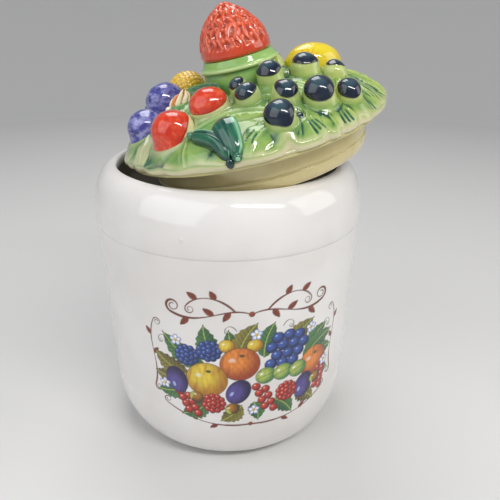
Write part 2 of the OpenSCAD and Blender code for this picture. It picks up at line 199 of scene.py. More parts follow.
def new_object(name, v, faces, material):
    me = bpy.data.meshes.new(name)
    me.from_pydata(v.tolist(), [], faces)
    me.polygons.foreach_set("use_smooth", [True] * len(faces))
    me.materials.append(material)
    ob = bpy.data.objects.new(name, me)
    bpy.context.scene.collection.objects.link(ob)
    return ob


def piece(name, node, material, v, faces, attributes):
    """Makes the visible piece for a node. Pieces of the lid come in the lid's own frame."""
    if inside_out(v, faces):
        faces = [f[::-1] for f in faces]
    body = "crock" if node == "crock" else "lid"
    ob = new_object(name, MM * (v @ LID_ROT.T + LID_POS if body == "lid" else v), faces, material)
    for key, values in attributes.items():
        if values.ndim == 2:
            a, field = ob.data.color_attributes.new(key, "FLOAT_COLOR", "POINT"), "color"
        else:
            a, field = ob.data.attributes.new(key, "FLOAT", "POINT"), "value"
        a.data.foreach_set(field, values.astype(np.float32).ravel())
    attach(ob, body)
    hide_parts(node)


# ---------------------------------------------------------------- materials
class Nodes:
    """Builds one node material."""

    def __init__(self, name, coat=0):
        self.m = bpy.data.materials.new(name)
        self.m.use_nodes = True
        self.t = self.m.node_tree
        self.p = self.t.nodes["Principled BSDF"]
        self.set(self.p, {"Coat Weight": coat})
        self.place = self.add("TexCoord", "Object", {})

    def set(self, node, inputs):
        for key, x in inputs.items():
            if isinstance(x, bpy.types.NodeSocket):
                self.t.links.new(x, node.inputs[key])
            else:
                node.inputs[key].default_value = x

    def add(self, kind, out, inputs, **settings):
        n = self.t.nodes.new("ShaderNode" + kind)
        for key, x in settings.items():
            setattr(n, key, x)
        self.set(n, inputs)
        return n.outputs[out]

    def noise(self, scale, detail, stretch=None, distortion=0):
        place = self.add("Mapping", "Vector", {"Scale": stretch, "Vector": self.place}) if stretch else self.place
        return self.add("TexNoise", "Fac", {"Vector": place, "Scale": scale, "Detail": detail, "Roughness": 0.55,
                                            "Distortion": distortion})

    def remap(self, value, low, high, to_low=0, to_high=1):
        return self.add("MapRange", "Result", {"Value": value, "From Min": low, "From Max": high, "To Min": to_low,
                                               "To Max": to_high}, interpolation_type="SMOOTHSTEP")

    def amount(self, x):
        """An attribute, a span of one, a span of a noise of some scale and detail, or x itself."""
        if isinstance(x, str):
            return self.add("Attribute", "Fac", {}, attribute_name=x)
        if not isinstance(x, tuple):
            return x
        if isinstance(x[0], str):
            return self.remap(self.amount(x[0]), *x[1:])
        return self.remap(self.noise(*x[:2]), *x[2:])

    def mix(self, factor, a, b):
        return self.add("Mix", 2, {0: factor, 6: a, 7: b}, data_type="RGBA")

    def layers(self, colour, *layers):
        """Colours laid over another, each by one amount or by the product of two."""
        colour = lin(colour)
        for factor, over, *times in layers:
            factor = self.amount(factor)
            if times:
                factor = self.add("Math", 0, {0: factor, 1: self.amount(times[0])}, operation="MULTIPLY",
                                  use_clamp=True)
            colour = self.mix(factor, colour, lin(over) if isinstance(over, str) else over)
        return colour

    def finish(self, colour, bump=0.05, bump_scale=300, rough=(0.08, 0.2)):
        normal = self.add("Bump", "Normal", {"Strength": bump, "Distance": 0.0006, "Height": self.noise(bump_scale, 2)})
        self.set(self.p, {"Base Color": colour, "Normal": normal, "Coat Roughness": 0.05,
                          "Roughness": self.amount((60, 3, 0.35, 0.7, *rough))})
        return self.m


def white_glaze():
    g = Nodes("white_glaze", 0.5)
    printed = g.add("Attribute", "Color", {}, attribute_name="print_rgb")
    return g.finish(g.layers("e9e6e4", ((14, 3, 0.3, 0.75), "dedad6"), ((900, 1, 0.74, 0.8), "b9b2a8", 0.35),
                             ("print_a", printed)), 0.04, 140, (0.07, 0.16))


def relief_glaze():
    g, fine = Nodes("leaf_green_glaze", 0.5), (260, 4, 0.35, 0.7)
    return g.finish(g.layers(
        # hue: painted light and shade across the lid, lighter on its high side, darker on its low side
        "a7bb53", ("hue", "73a05c"), ((45, 5, 0.3, 0.7), "8cae5c", 0.5), ((24, 3, 0.45, 0.7), "5f914f", 0.4),
        # light: painted highlight on ribs, leaf edges and crests, partly the glaze thinning there
        (fine, "568a48", 0.2), ("light", "c9d592", 0.5), ("cream", "d3cda4"),
        # valley: painted shade in the hollows, partly the darker glaze pooled there
        ("valley", "33683a", (110, 4, 0.2, 0.75, 0.6, 1)), (("valley", 0.6, 1), "17443a", 0.8),
        ("teal", g.layers("17604f", (fine, "0d3f3c")), (190, 4, 0.25, 0.6, 0.7, 1))), 0.07)


def plain_glaze(name, coat, layers, *finish):
    g = Nodes(name, coat)
    return g.finish(g.layers(*layers), *finish)


def painted_glaze(name, colours, edge, scale, stretch=None, streak=0.6, sheen=None, bare="ded8a4"):
    """Painted fruit: the clay's own green or cream shows where the paint attribute is low."""
    g = Nodes(name, 0.6)
    layers = [(g.remap(g.noise(scale, 5, stretch, 0.6), 0.35, 0.68), colours[1], streak)]
    if len(colours) > 2:
        layers.append(((scale * 2.2, 5, 0.45, 0.7), colours[2], 0.8))
    if sheen:
        layers.append(("sheen", sheen, 0.7))
    # hue is painted light and shade across the lid, lighter on its high side, darker on its low side
    clay = g.layers("abbe58", ("hue", "7fa860"), ((45, 5, 0.3, 0.7), "8cae5c", 0.5), ("cream", bare),
                    # low: painted shade toward the foot of each column
                    ("low", "4a7a3e", 0.8))
    return g.finish(g.mix(g.amount("paint"), clay, g.layers(colours[0], *layers, ("mark", edge, 0.85))), 0.04)


# ---------------------------------------------------------------- crock and its printed garland
PRINT_R = 86.5    # lengths round the wall are measured at this radius
PRINT_AT = 13     # the garland's middle, that far round the wall
INK_EDGE = 0.25   # half the width of a printed edge


class Print:
    """Fired colours laid on points (s, t) in mm, s round the wall and t up it."""

    def __init__(self, s, t):
        self.s, self.t = s, t
        self.rgb, self.a = zeros((len(s), 3)), zeros(len(s))

    def near(self, points, pad):
        (x0, y0), (x1, y1) = np.min(points, 0) - pad, np.max(points, 0) + pad
        k = np.nonzero((self.s > x0) & (self.s < x1) & (self.t > y0) & (self.t < y1))[0]
        return k, self.s[k], self.t[k]

    def lay(self, k, mask, colour):
        self.rgb[k] += (colour - self.rgb[k]) * mask[:, None]
        self.a[k] = maximum(self.a[k], mask)

    def oval(self, x, y, rx, ry, turn, body, shade, glint=None, outline=None, line=0.5):
        big, small = max(rx, ry), min(rx, ry)
        k, s, t = self.near([(x, y)], big + 2)
        u, w = along(s, t, x, y, radians(turn))
        e = hypot(u / rx, w / ry)
        inside = smooth(e * small, small + INK_EDGE, small - INK_EDGE)
        if outline is not None:
            self.lay(k, smooth(e * small, small + line + INK_EDGE, small + line - INK_EDGE), outline)
        mixed = smooth(hypot(u / rx + 0.25, w / ry - 0.3), 0.35, 1.25)[:, None]
        streaks = 0.12 * waves(s * 3, t * 0.8, 0, 6, int(abs(x * 7 + y * 3)) + 1)[:, None]
        self.lay(k, inside, clip((body + (shade - body) * mixed) * (1 + streaks), 0, 1))
        if glint is not None:
            g = hypot((u + 0.35 * rx) / (0.22 * rx), (w - 0.42 * ry) / (0.16 * ry))
            self.lay(k, smooth(g, 1.1, 0.6) * 0.85 * inside, glint)
        return k, u, w, e, inside

    def ovals(self, places, *look):
        for x, y, turn in places:
            self.oval(x, y, *look[:2], turn, *look[2:])

    def stroke(self, points, w0, w1, colour):
        p = array(points, float)
        k, s, t = self.near(p, max(w0, w1) + 1)
        best = full(len(k), 9)
        for i, (a, b) in enumerate(zip(p[:-1], p[1:])):
            u, w, length = from_to(s, t, *a, *b)
            q = (i + clip(u, 0, 1)) / (len(p) - 1)
            width = (w0 + (w1 - w0) * q) * (0.75 + 0.25 * sin(q * 9))
            best = minimum(best, hypot(w, (u - clip(u, 0, 1)) * length) - width / 2)
        self.lay(k, smooth(best, 0.22, -0.22), colour)

    def leaf(self, x0, y0, x1, y1, half, colour, dark, vein, bend=0.15):
        k, s, t = self.near([(x0, y0), (x1, y1)], half + 2)
        u, w, length = from_to(s, t, x0, y0, x1, y1)
        w = w - bend * length * u * (1 - u) * 2
        c = clip(u, 0, 1)
        width = half * sin(pi * c ** 0.8) ** 0.8 * (1 + 0.1 * sin(c * 38)) + 1e-6
        inside = smooth(abs(w), width + INK_EDGE, width - INK_EDGE) * ((u > 0) & (u < 1))
        self.lay(k, smooth(abs(w), width + 0.65, width + 0.15) * ((u > -0.03) & (u < 1.05)), dark)
        ribs = 0.5 * sin((u * length - abs(w) * 0.8) * 2.1)
        tone = clip(0.5 + 0.35 * ribs + 0.35 * sign(w) * smooth(abs(w), 0, half), 0, 1)[:, None]
        self.lay(k, inside, dark + (colour - dark) * tone)
        self.lay(k, smooth(abs(w), 0.45, 0.1) * inside, vein)

    def drupes(self, x, y, body, dark, glint):
        """A berry of 18 drupelets, drawn from the outer ring inwards."""
        for ring, n, r in ((2, 11, 6), (1, 6, 3.1), (0, 1, 0)):
            for a in 2 * pi * (arange(n) + 0.5 * ring) / n:
                self.oval(x + r * cos(a), y + r * sin(a) * 0.96, 2, 2, 0, body, dark, glint, dark, 0.3)


def scroll(points, r, turns, side):
    """A spiral that carries a line on and winds in on one side of it."""
    p, d = points[-1], points[-1] - points[-2]
    centre = p + side * r * array([-d[1], d[0]]) / hypot(*d)
    q = linspace(0, 1, 36)
    a = arctan2(*(p - centre)[::-1]) + side * q * turns * 2 * pi
    return centre + (r * (1 - 0.68 * q) * array([cos(a), sin(a)])).T


def bezier(*controls):
    p0, p1, p2, p3 = array(controls, float)
    q = linspace(0, 1, 30)[:, None]
    return (1 - q) ** 3 * p0 + 3 * (1 - q) ** 2 * q * p1 + 3 * (1 - q) * q * q * p2 + q ** 3 * p3


def garland(s, t):
    """A plain harvest garland between two scrolls."""
    P = Print(s - PRINT_AT, t)
    (brown, rust, green, deep, pale, olive, umber, blue, navy, sky, violet, ink, yellow, ochre, orange, burnt, red,
     wine, white) = [array(lin(code)[:3]) for code in (
         "6c2814 8a3c1c 4f8045 1a4530 a9b95a 8a8438 4a3a18 34539e 16224c a9bce6 52468c 221a44 ddc23c a9701c de8430 "
         "963c16 c23a2a 70181a f4efe6").split()]

    for m in (-1, 1):
        # two mirrored halves: the long scroll above with its branch, the side tendril and the line under the garland
        main = bezier((0, 121), (m * 16, 129), (m * 30, 112), (m * 49, 121))
        branch = bezier(main[6], (m * 20, 136), (m * 34, 134), (m * 39, 126))
        side = bezier((m * 62, 112), (m * 70, 96), (m * 58, 80), (m * 65, 62))
        under = bezier((m * 1, 38.6), (m * 22, 37), (m * 40, 42), (m * 57, 51))
        for line, w0, w1 in (
            (main, 0.9, 1.9), (scroll(main, 4.6, 1.5, m), 1.8, 0.6), (branch, 1.5, 0.9),
            (scroll(branch, 3, 1.3, -m), 0.9, 0.5), (side, 0.8, 1.3), (scroll(side[::-1], 2.8, 1.4, m), 0.8, 0.5),
            (scroll(side, 2.8, 1.3, -m), 1.2, 0.5), (under, 1.5, 0.9), (scroll(under, 2.8, 1.3, m), 0.9, 0.5),
        ):
            P.stroke(line, w0, w1, brown)
        for line, step, dx, dy, half in (
            (main, 8, 4, -6, 1.6), (main, 14, 6, 4.5, 1.6), (main, 23, 5, -5.5, 1.6), (branch, 10, 3, 5.5, 1.6),
            (branch, 20, 5.5, 4, 1.6), (side, 7, 3.4, 4.6, 1.2), (side, 15, -3.6, 4.4, 1.2), (under, 10, 5, -3, 1.2),
            (under, 17, 4.6, 3.8, 1.2),
        ):
            x, y = line[step]
            P.leaf(x, y, x + m * dx, y + dy, half, rust, brown, brown, 0)
    P.oval(0, 121.2, 1.9, 1.9, 0, rust, brown)
    P.oval(0, 38.8, 1.6, 1.6, 0, rust, brown)

    # leaves and tendrils behind the fruit
    for x0, y0, x1, y1, w, tone in (
        (-48, 72, -63, 74, 5, olive), (48, 80, 62, 82, 5, green), (-42, 66, -62, 60, 6, green),
        (42, 66, 61, 64, 6, green),
        (-30, 84, -55, 104, 7, green), (-40, 76, -62, 89, 6.5, olive), (-22, 90, -29, 113, 6.5, green),
        (-6, 88, -14, 110, 5.5, green), (-8, 92, 3, 114, 6.5, olive), (8, 90, 14, 113, 6.5, green),
        (38, 88, 55, 101, 5.5, green), (24, 92, 42, 109, 7, olive), (36, 82, 61, 94, 7, green),
        (-28, 56, -45, 45, 6.5, green), (32, 56, 47, 46, 6.5, olive), (-6, 54, -19, 42.5, 6, olive),
        (2, 56, 5, 42, 5.5, green), (16, 56, 29, 42.5, 6, green),
    ):
        P.leaf(x0, y0, x1, y1, w, tone, deep if tone is green else umber, pale)
    for m, x, y in ((-1, -52, 99), (1, 52, 100), (-1, -9, 110), (1, 20, 110)):
        tendril = bezier((x, y), (x + m * 3, y + 6), (x + m * 8, y + 3), (x + m * 7, y - 1))
        P.stroke(tendril, 0.6, 0.5, deep)
        P.stroke(scroll(tendril, 1.6, 1.3, -m), 0.5, 0.4, deep)

    P.drupes(-40, 91, blue, navy, sky)
    P.drupes(-26, 95.5, blue, navy, sky)
    # sloes in a close bunch, upper right
    P.ovals([(17, 102, 0), (24.6, 102.6, 0), (32, 101, 0), (13, 95.6, 0), (20.6, 96, 0), (28.2, 95.8, 0),
             (35.6, 94.6, 0), (16.6, 89.2, 0), (24.2, 89.4, 0), (31.8, 89, 0), (20.4, 83, 0), (28, 83, 0),
             (12.6, 83.4, 0)],
            3.9, 3.7, blue, navy, sky, navy, 0.35)
    # yellow plums, oranges and a quince
    P.ovals([(-15, 99.5, 15), (2, 99, 15)], 4.8, 4.5, yellow, ochre, white, umber, 0.35)
    for x, y, r, c, d in ((-7, 86, 12.3, orange, burnt), (-28, 74, 13, yellow, ochre), (45.5, 76, 11.5, orange, burnt)):
        k, u, w, e, inside = P.oval(x, y, r, r * 0.96, 0, c, d, None, umber, 0.4)
        P.lay(k, smooth(waves(u * 1.2, w * 0.35, 0, 5, 19), 0.1, 0.9) * smooth(e, 0.1, 0.7) * 0.45 * inside, burnt)
        P.lay(k, smooth(waves(u * 2.4, w * 2.4, 0, 4.2, 11), 0.55, 0.95) * 0.3 * inside, d)
        P.lay(k, smooth(hypot(u - 0.1 * r, (w - 0.5 * r) * 1.6) / 2, 1.2, 0.5) * inside, umber)
        P.lay(k, smooth(hypot((u + 0.4 * r) / 2.8, (w - 0.25 * r) / 2), 1.1, 0.4) * 0.45 * inside, white)
    # gooseberries with stripes
    for x, y in ((9.5, 75.6), (21, 76), (32.2, 75)):
        k, u, w, e, inside = P.oval(x, y, 6.4, 5.8, 20, pale, green, white, deep, 0.35)
        P.lay(k, (abs(sin(np.arcsin(clip(w / 6, -1, 1)) * 3.5)) < 0.16) * 0.6 * inside, deep)
    # red currants on their strings
    for x0, y0, x1, y1 in ((6, 68, 13, 49), (-44, 62, -37, 47), (53, 68, 51, 53)):
        P.stroke([(x0, y0), ((x0 + x1) / 2 + 1, (y0 + y1) / 2), (x1, y1)], 0.5, 0.4, deep)
        for i in range(8):
            x, y = x0 + (x1 - x0) * i / 7, y0 + (y1 - y0) * i / 7
            P.oval(x + (2.6 if i % 2 else -2.6), y, 2.7, 2.7, 0, red, wine, white, wine, 0.3)
    # figs, raspberries and hazelnuts in the lower row
    P.ovals([(-8, 65, 60), (-48, 71, 105), (38, 60, 75)], 9.4, 7.2, violet, ink, sky, ink, 0.4)
    P.drupes(-24, 56, red, wine, white)
    P.drupes(24.5, 60, red, wine, white)
    for x, y, turn in ((-12, 52, 30), (-35, 60, -20), (48, 62, 10)):
        k, u, w, e, inside = P.oval(x, y, 4.6, 4, turn, ochre, umber, white, umber, 0.35)
        P.lay(k, smooth(-u, 2.2, 2.8) * inside, pale)
    # small white blossoms
    for x, y in ((-47, 101), (3, 106.5), (41, 103), (2, 50), (56, 72), (-57, 66)):
        for a in 2 * pi * arange(5) / 5 + 0.3:
            P.oval(x + 2.2 * cos(a), y + 2.2 * sin(a), 1.6, 1.3, np.degrees(a), white, sky, None, blue, 0.25)
        P.oval(x, y, 1, 1, 0, yellow, ochre)
    return P.rgb, P.a


def make_crock(material):
    crease_r, inner_foot = SHOULDER_R - CREASE_STEP, FOOT_R - WALL_T / 3
    outside = vstack([
        [[0.02, FOOT_RECESS], [FOOT_R - FOOT_RING_W - FOOT_RECESS, FOOT_RECESS]],
        [[FOOT_R - FOOT_RING_W, 0.3], [FOOT_R - FOOT_RING_W + 0.4, 0]],
        arc(FOOT_R, BASE_ROUND, WALL_R - FOOT_R, BASE_ROUND, -90, -46, 26)[:-1],
        arc(FOOT_R, BASE_ROUND, WALL_R - FOOT_R, BASE_ROUND, -46, 0, 80)[:-1],
        np.c_[linspace(WALL_R, crease_r, 270), linspace(BASE_ROUND, CREASE_Z, 270)],
        arc(crease_r, SHOULDER_Z, CREASE_STEP, SHOULDER_Z - CREASE_Z, -90, 0, 16)[1:],
        arc(RIM_R, SHOULDER_Z, SHOULDER_R - RIM_R, CROCK_H - SHOULDER_Z, 0, 90, 48)[1:],
    ])
    section = vstack([
        outside, arc(RIM_R, CROCK_H - MOUTH_ROUND, MOUTH_R - RIM_R, MOUTH_ROUND, 90, 0, 14)[1:],
        arc(MOUTH_R, SHOULDER_Z, crease_r - WALL_T - MOUTH_R, CROCK_H - SHOULDER_Z - MOUTH_ROUND - WALL_T / 2,
            90, 0, 24),
        [[crease_r - WALL_T, CREASE_Z]],
        arc(inner_foot, BASE_ROUND, WALL_R - WALL_T - inner_foot, BASE_ROUND - FLOOR_T, 0, -90, 30), [[0.02, FLOOR_T]],
    ])
    # fine steps where the print is, coarse ones round the back
    az = radians(concatenate([arange(-48, 66, 0.27), arange(66, 312, 1)]))
    r, z = section[:, :1], section[:, 1:] + 0 * az
    x, y = r * sin(az), -r * cos(az)
    # hand-finished glaze: slow swells that stay within the solid's box, and one small drop on the shoulder
    dent = 0.16 * (waves(x, y, z, 60, 3) - 1) * smooth(z, 6, 20) * (r > 40)
    dent += 0.5 * smooth(hypot(x + 26.5, z - 168.2), 1.5, 0.4) * (y < 0) * (z < 190) * (r > 80)
    v, faces = skin(stack([(r + dent) * sin(az), -(r + dent) * cos(az), z], -1))
    s = PRINT_R * where(az > pi, az - 2 * pi, az) + 0 * z
    on_wall = (arange(len(section)) < len(outside))[:, None]
    k = np.nonzero((on_wall & (z > 33) & (z < 142) & (s > -64) & (s < 92)).ravel())[0]
    rgb, a = zeros((len(v), 4)) + (0, 0, 0, 1), zeros(len(v))
    rgb[k, :3], a[k] = garland(s.ravel()[k], z.ravel()[k])
    piece("crock_body", "crock", material, v, faces, {"print_rgb": rgb, "print_a": a})


# ---------------------------------------------------------------- lid: turned parts
def turned(section, n=240, wobble=None):
    """Rings of the section's points about the z axis."""
    az = circle(n)
    r, z = section[:, :1] + 0 * az, section[:, 1:] + 0 * az
    if wobble:
        r, z = wobble(r, z, az)
    return stack([r * cos(az), r * sin(az), z], -1)


def make_shell(material):
    soft = 0.8
    collar_r, foot, groove_z, in_r = COLLAR_R + GAP, -FLANGE_T - RING_H, -FLANGE_T - GROOVE_H, RING_R - RING_T
    bead_h = RING_H - GROOVE_H - GROOVE_CUT
    rows = turned(vstack([
        [[0.02, SHELL_RISE]], arc(collar_r, 0, DOME_R - collar_r, SHELL_RISE, 90, 0, 20),
        arc(FLANGE_R - soft, -soft, soft, soft, 90, 0, 6), arc(FLANGE_R - soft, soft - FLANGE_T, soft, soft, 0, -90, 6),
        arc(RING_R + soft, -FLANGE_T - soft, -soft, soft, 90, 0, 6),
        np.c_[full(8, RING_R), linspace(-FLANGE_T - 1.2, groove_z + 0.4, 8)],
        [[RING_R - 0.2, groove_z + 0.1], [RING_R - GROOVE_CUT, groove_z - GROOVE_CUT / 2],
         [RING_R - 0.2, groove_z - GROOVE_CUT - 0.1]],
        arc(RING_R - BEAD_DRAW, foot + bead_h, BEAD_DRAW, bead_h, 0, -90, 16),
        arc(in_r + 1.5, foot + 1.5, -1.5, 1.5, -90, 0, 6), arc(0, -SHELL_T, in_r, SHELL_RISE, 0, 89.9, 36),
        [[0.02, SHELL_RISE - SHELL_T]],
    ]))
    x, y, z = np.moveaxis(rows, -1, 0)
    piece("lid_flange", "lid_shell", material, *solid(rows, {"tint": 0.6 * smooth(z, -6, -1) * (hypot(x, y) > 60)}))


def make_collar(material):
    section = vstack([
        [[0.02, SHELL_RISE + 0.05], [COLLAR_R, SHELL_RISE + 0.05]],
        np.c_[linspace(COLLAR_R, COLLAR_R - 0.5, 14), linspace(SHELL_RISE + 1, RIDGE_Z - 2.3, 14)],
        arc(COLLAR_R - 0.4, RIDGE_Z, 1.6, 1.5, -90, 60, 14),
        np.c_[linspace(COLLAR_TOP_R + 1.6, COLLAR_TOP_R, 10), linspace(RIDGE_Z + 1.9, KNOB_SEAT_Z, 10)],
        [[0.02, KNOB_SEAT_Z]],
    ])

    def lap(r, z, az):
        """The ridge runs up and down a little."""
        up = smooth(z, 30, 37) * smooth(z, 45.2, 42.5)
        return r - 0.12 * up * (1 + sin(3 * az)), z + up * (0.9 * cos(az + pi / 3) + 0.5 * sin(2 * az + 1))

    rows = turned(section, 160, lap)
    z = rows[..., 2]
    # valley is painted shade in the crease under the ridge and toward the foot; light is a painted highlight on the
    # ridge top
    piece("lid_collar", "knob_collar", material, *solid(rows, {
        "valley": 0.8 * smooth(abs(z - RIDGE_Z + 2.4), 1.3, 0.2) * (z < RIDGE_Z) + 0.5 * smooth(z, 34, 30),
        "light": 0.7 * smooth(abs(z - RIDGE_Z - 0.6), 1.6, 0.4)}))


def make_strawberry(material):
    around, up, row_h = 420, 220, 6.8
    q = linspace(0, 1, up)[:-1]
    section = vstack([
        arc(KNOB_R - KNOB_EDGE, KNOB_EDGE, KNOB_EDGE, KNOB_EDGE, -90, 0, 12)[:-1],
        np.c_[KNOB_R * (1 - q ** 2.2) ** 0.77, KNOB_EDGE + (KNOB_H - KNOB_EDGE) * q],
    ])
    # even steps along the outline
    d = concatenate([[0], np.cumsum(hypot(*np.diff(section, axis=0).T))])
    t = linspace(0, d[-1] - 0.4, up)
    section = np.c_[np.interp(t, d, section[:, 0]), np.interp(t, d, section[:, 1])]
    az = circle(around)
    r, z, t = section[:, :1], section[:, 1:], t[:, None]
    tangent = unit(np.gradient(section, axis=0))
    # staggered tear-shaped pits between carved strands
    count = where(r > 17, 22, where(r > 10.5, 15, 8))
    wob = 0.16 * waves(r * cos(az), r * sin(az), z, 11, 5)
    level = t / row_h + wob
    row = floor(level)
    u = az / (2 * pi) * count + 0.5 * (row % 2) + 0.13 * sin(row * 2.1) + wob * 1.3
    du, dv = (u - floor(u) - 0.5) * 2, (level - row - 0.5) * 2
    pit = bell(du, 0.42 * (1 - 0.35 * dv)) * exp(-(dv / 0.72) ** 4)
    strands = 0.5 + 0.5 * sin(az * count * 2 + 3 * wob + 2.2 * sin(t * 0.5))
    active = smooth(t, 5, 11) * (1 - 0.55 * smooth(t, t[-1] - 5, t[-1]))
    depth = active * (1.3 * pit + 0.38 * strands) + 0.12 * (1 + waves(r * cos(az), r * sin(az), z, 14, 9))
    r, z = 0.975 * (r - depth * tangent[:, 1:]), z + depth * tangent[:, :1]
    height = smooth(z, KNOB_EDGE, KNOB_H)
    rows = stack([r * cos(az) - 0.3 - 1.1 * height, r * sin(az), z * (1 + 0.022 * height) + KNOB_SEAT_Z + 0.05], -1)
    # ridge is a painted highlight on the raised strands; pit is darker red, partly pooled glaze and partly painted
    # shade
    piece("strawberry", "strawberry_knob", material, *solid(rows, {
        "pit": clip(active * pit, 0, 1), "ridge": clip(active * (1 - pit) * (strands > 0.75) * 0.8, 0, 1)}))


# ---------------------------------------------------------------- lid: the relief
def polar(way, share):
    return share * SKIRT_R * cos(radians(way)), share * SKIRT_R * sin(radians(way))


def dome(r):
    return LEAF_EDGE + (MOUND_H - LEAF_EDGE) * (1 - clip(r / SKIRT_R, 0, 1) ** MOUND_POWER)


def turn_between(a, b):
    return abs((a - b + 540) % 360 - 180)


def skirt_edge(a):
    """Edge of the leaves seen from above, notched where one leaf ends and the next begins."""
    edge = SKIRT_R - 1.5 + 1.3 * abs(cos(radians(LEAF_COUNT * (a + 97) / 2)))
    edge += 0.25 * sin(radians(a * 23)) + 0.15 * sin(radians(a * 41 + 30))
    for way, depth, spread in NOTCHES:
        edge -= depth * bell(turn_between(a, way), spread)
    return edge


def hue_at(x, y):
    """0 for a lighter, yellower green on the lid's high side, 1 for a darker, bluer green on its low side: painted
    light and shade.
    """
    return clip(0.5 - x / 120 + 0.3 * waves(x, y, 0, 34, 31), 0, 1)


# leaf: base way and share, tip way and share, half width, crown, rib, and if need be
# how far it leans to one side and its kind, c for cream or t for dark teal; else it is green
LEAVES = [
    (-150, 0.56, -152, 0.8, 8, 1.6, 0.6, 0, "c"), (-119, 0.745, -78, 0.715, 7.5, 1.7, 1),
    (-100, 0.6, -103, 0.73, 6, 1.4, 0.6), (-142, 0.42, -137, 0.56, 6, 1.6, 0.6), (-45, 0.52, -40, 0.7, 7, 1.6, 0.6),
    (-168, 0.41, -121, 0.335, 5.6, 7.5, 0.9, 0, "t"), (-32, 0.32, -18, 0.37, 3.6, 4.5, 0.6, 0, "t"),
    (-52, 0.32, -46, 0.35, 2.6, 3.6, 0.4, 0, "t"), (-166, 0.8, -162, 1.05, 10, 1.7, 0.8, 0, "c"),
    (-155, 0.82, -146, 1.05, 9, 2, 0.9, 0.1, "c"), (-121, 0.8, -117, 1.07, 16, 2.6, 0.9, 0.1),
    (-127, 0.89, -142, 1, 5.5, 2.4, 0.8, 0, "t"), (-106, 0.8, -108, 1.05, 9, 1, 0.1),
    (-87, 0.8, -95, 0.95, 5, 2.2, 0.4, 0.2), (-82, 0.86, -95, 1.05, 8.5, 3.3, 0.6, -0.25),
    (-71, 0.86, -78, 1.03, 5.6, 2.6, 0.9), (-66, 0.83, -68.2, 1.08, 8, 2.8, 0.3),
    (-59, 0.84, -60.5, 1.06, 6.6, 2.4, 0.7), (-52, 0.82, -50, 1.08, 8, 3, 0.4),
    (-43, 0.88, -41, 1.07, 7, 2.2, 0.6), (-19, 0.74, -33, 1.08, 12.5, 3, 0.9), (-4, 0.7, -17, 1.05, 9.5, 2.7, 1),
    (-6, 0.84, -3, 1.07, 9.5, 2, 1), (10, 0.8, 9, 1.07, 10, 2.4, 1.2, 0.1), (26, 0.82, 25, 1.07, 10.5, 2.2, 1.1),
    (42, 0.82, 43, 1.07, 10, 2.4, 1.2, -0.1), (59, 0.83, 60, 1.07, 10, 2.2, 1.1), (76, 0.85, 77, 1.07, 10, 2.4, 1.1),
    (94, 0.8, 93, 1.07, 10, 2.6, 1.2, 0, "t"), (110, 0.82, 110, 1.07, 11, 2.4, 1.1),
    (127, 0.87, 127, 1.07, 10, 2, 1), (143, 0.86, 145, 1.07, 10, 2.4, 1.1),
    (162, 0.82, 162, 1.07, 10, 2.4, 1.1, 0, "t"), (177, 0.86, 179, 1.07, 10, 2, 1),
    (-5, 0.38, 1, 0.54, 7.5, 2.2, 0.9), (35, 0.38, 40, 0.58, 7.5, 2.2, 0.9),
    (108, 0.36, 112, 0.56, 7.5, 2.4, 1, 0, "t"), (125, 0.42, 122, 0.62, 7.5, 2.2, 0.9),
    (174, 0.36, 172, 0.52, 7.5, 2.2, 0.9), (72, 0.32, 74, 0.46, 6, 2.2, 0.9), (39, 0.6, 42, 0.8, 7.5, 2.2, 0.9),
    (92, 0.56, 94, 0.76, 7, 2.2, 0.9), (140, 0.6, 139, 0.8, 7.5, 2.2, 0.9, 0, "t"), (5, 0.6, 4, 0.8, 7.5, 2.2, 0.9),
]
# brushed veins: from, to, how many, how far apart, how wide
STROKES = [
    (-66.8, 0.875, -64.8, 0.97, 3, 2.5, 1.8), (-51.6, 0.88, -52.4, 1, 3, 2.7, 2),
    (-15.5, 0.77, -23, 0.985, 4, 3.4, 1.7), (-25, 0.8, -30, 0.97, 3, 3, 1.5), (-35.5, 0.91, -37.6, 1, 3, 2.4, 1.6),
    (-8, 0.7, -17, 0.84, 3, 3, 1.5), (11, 0.86, 10, 0.99, 3, 2.6, 1.5), (58, 0.88, 59, 0.99, 3, 2.6, 1.5),
    (127, 0.9, 127, 0.99, 3, 2.6, 1.5), (178, 0.9, 179, 0.99, 3, 2.6, 1.5), (-106, 0.62, -97, 0.6, 2, 2, 1),
    (-122, 0.62, -112, 0.63, 2, 2.2, 1), (-133, 0.9, -140, 0.97, 2, 2.4, 1.6), (-89, 0.86, -93, 0.94, 2, 3.4, 1.2),
]
# painted shade, partly pooled glaze: way, share, size, strength
SHADES_AND_POOLS = [
    (-108.5, 0.95, 4.5, 0.85), (-123.2, 0.953, 4, 0.5), (-137.7, 0.944, 6, 0.5), (-122.7, 0.641, 3.5, 0.6),
    (-63.4, 0.748, 3, 0.8), (-83.8, 0.864, 3, 0.8), (-92.9, 0.836, 3, 0.8), (-128.3, 0.886, 4, 0.5),
    (-62.2, 0.979, 2.5, 0.6), (-102.6, 0.565, 4, 0.5), (20, 0.9, 4, 0.5), (70, 0.68, 4, 0.6), (118, 0.72, 4, 0.6),
    (150, 0.62, 4, 0.6), (170, 0.7, 4, 0.6), (45, 0.72, 4, 0.5), (-10, 0.5, 4, 0.5),
]
# gaps between the leaves' tips: way, depth, spread
NOTCHES = [(-78.6, 2.6, 2.2), (-63.6, 1.6, 1.8), (-56.5, 1.6, 2), (-46, 1, 2), (-96.5, 1, 3), (-131, 1.2, 3),
           (-154, 1.4, 3)]

Fruit = namedtuple("Fruit", "x y z half r turn dip kind axis angle")
# fruit on a column of clay: the share of painted shade, partly darker glaze, pooled round it, and of cream on it
COLUMNS = {"berry": (0.75, 0), "cherry": (0.15, 0.6), "plum": (0.3, 0.5)}
COLUMN_SPREAD = 4.4


